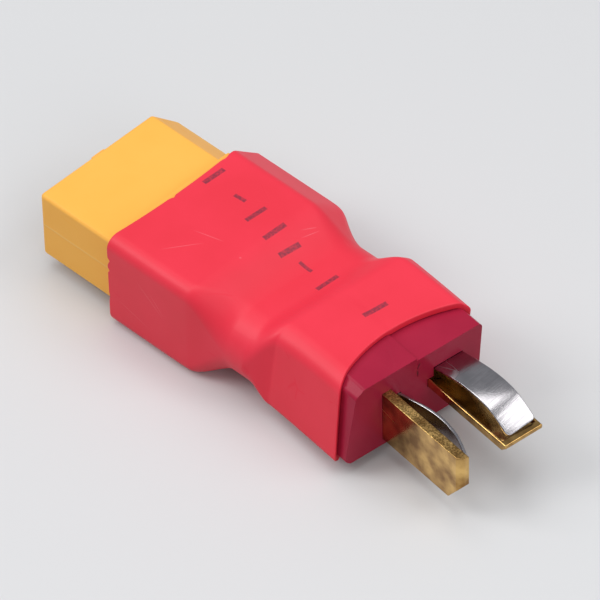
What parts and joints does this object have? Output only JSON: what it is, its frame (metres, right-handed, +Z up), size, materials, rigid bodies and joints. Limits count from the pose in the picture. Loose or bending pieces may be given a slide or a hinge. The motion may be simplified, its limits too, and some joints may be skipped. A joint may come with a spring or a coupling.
{
  "type": "battery connector adapter",
  "caption": "Short adapter with round socket contacts in a keyed yellow shell at one end and spring-leaf blades set a quarter turn apart at the other, soldered and held in a red shrink sleeve",
  "frame": {"origin": "middle of the shell's mating face, between the two socket contacts", "axes": "+X along the adapter toward the blades, +Y across it toward the chamfered side of the shell, +Z up"},
  "size_m": [0.0429, 0.0164, 0.009],
  "materials": {
    "shell_plastic": "satin moulded nylon",
    "contact_plating": "gold plated, turned",
    "solder": "dull tin solder",
    "housing_plastic": "glossy moulded nylon",
    "blade_plating": "gold plated, stamped edges",
    "spring_steel": "bright spring strip",
    "sleeve": "semi-gloss heat-shrink tube"
  },
  "bodies": {
    "adapter": {"socket_shell": "shell_plastic", "near_contact": "contact_plating", "far_contact": "contact_plating", "near_solder": "solder", "far_solder": "solder", "plug_housing": "housing_plastic", "upright_blade": "blade_plating", "flat_blade": "blade_plating", "shrink_sleeve": "sleeve"},
    "upright_spring": {"upright_leaf": "spring_steel"},
    "flat_spring": {"flat_leaf": "spring_steel"}
  },
  "joints": [
    {"name": "upright_leaf_press", "type": "slide", "parent": "adapter", "child": "upright_spring", "axis": [-0.1253, -0.9921, 0], "range_m": [0, 0.0009], "stiffness_N_per_m": 3000, "deforming": ["upright_leaf"]},
    {"name": "flat_leaf_press", "type": "slide", "parent": "adapter", "child": "flat_spring", "axis": [0, 0, -1], "range_m": [0, 0.0009], "stiffness_N_per_m": 3000, "deforming": ["flat_leaf"]}
  ]
}
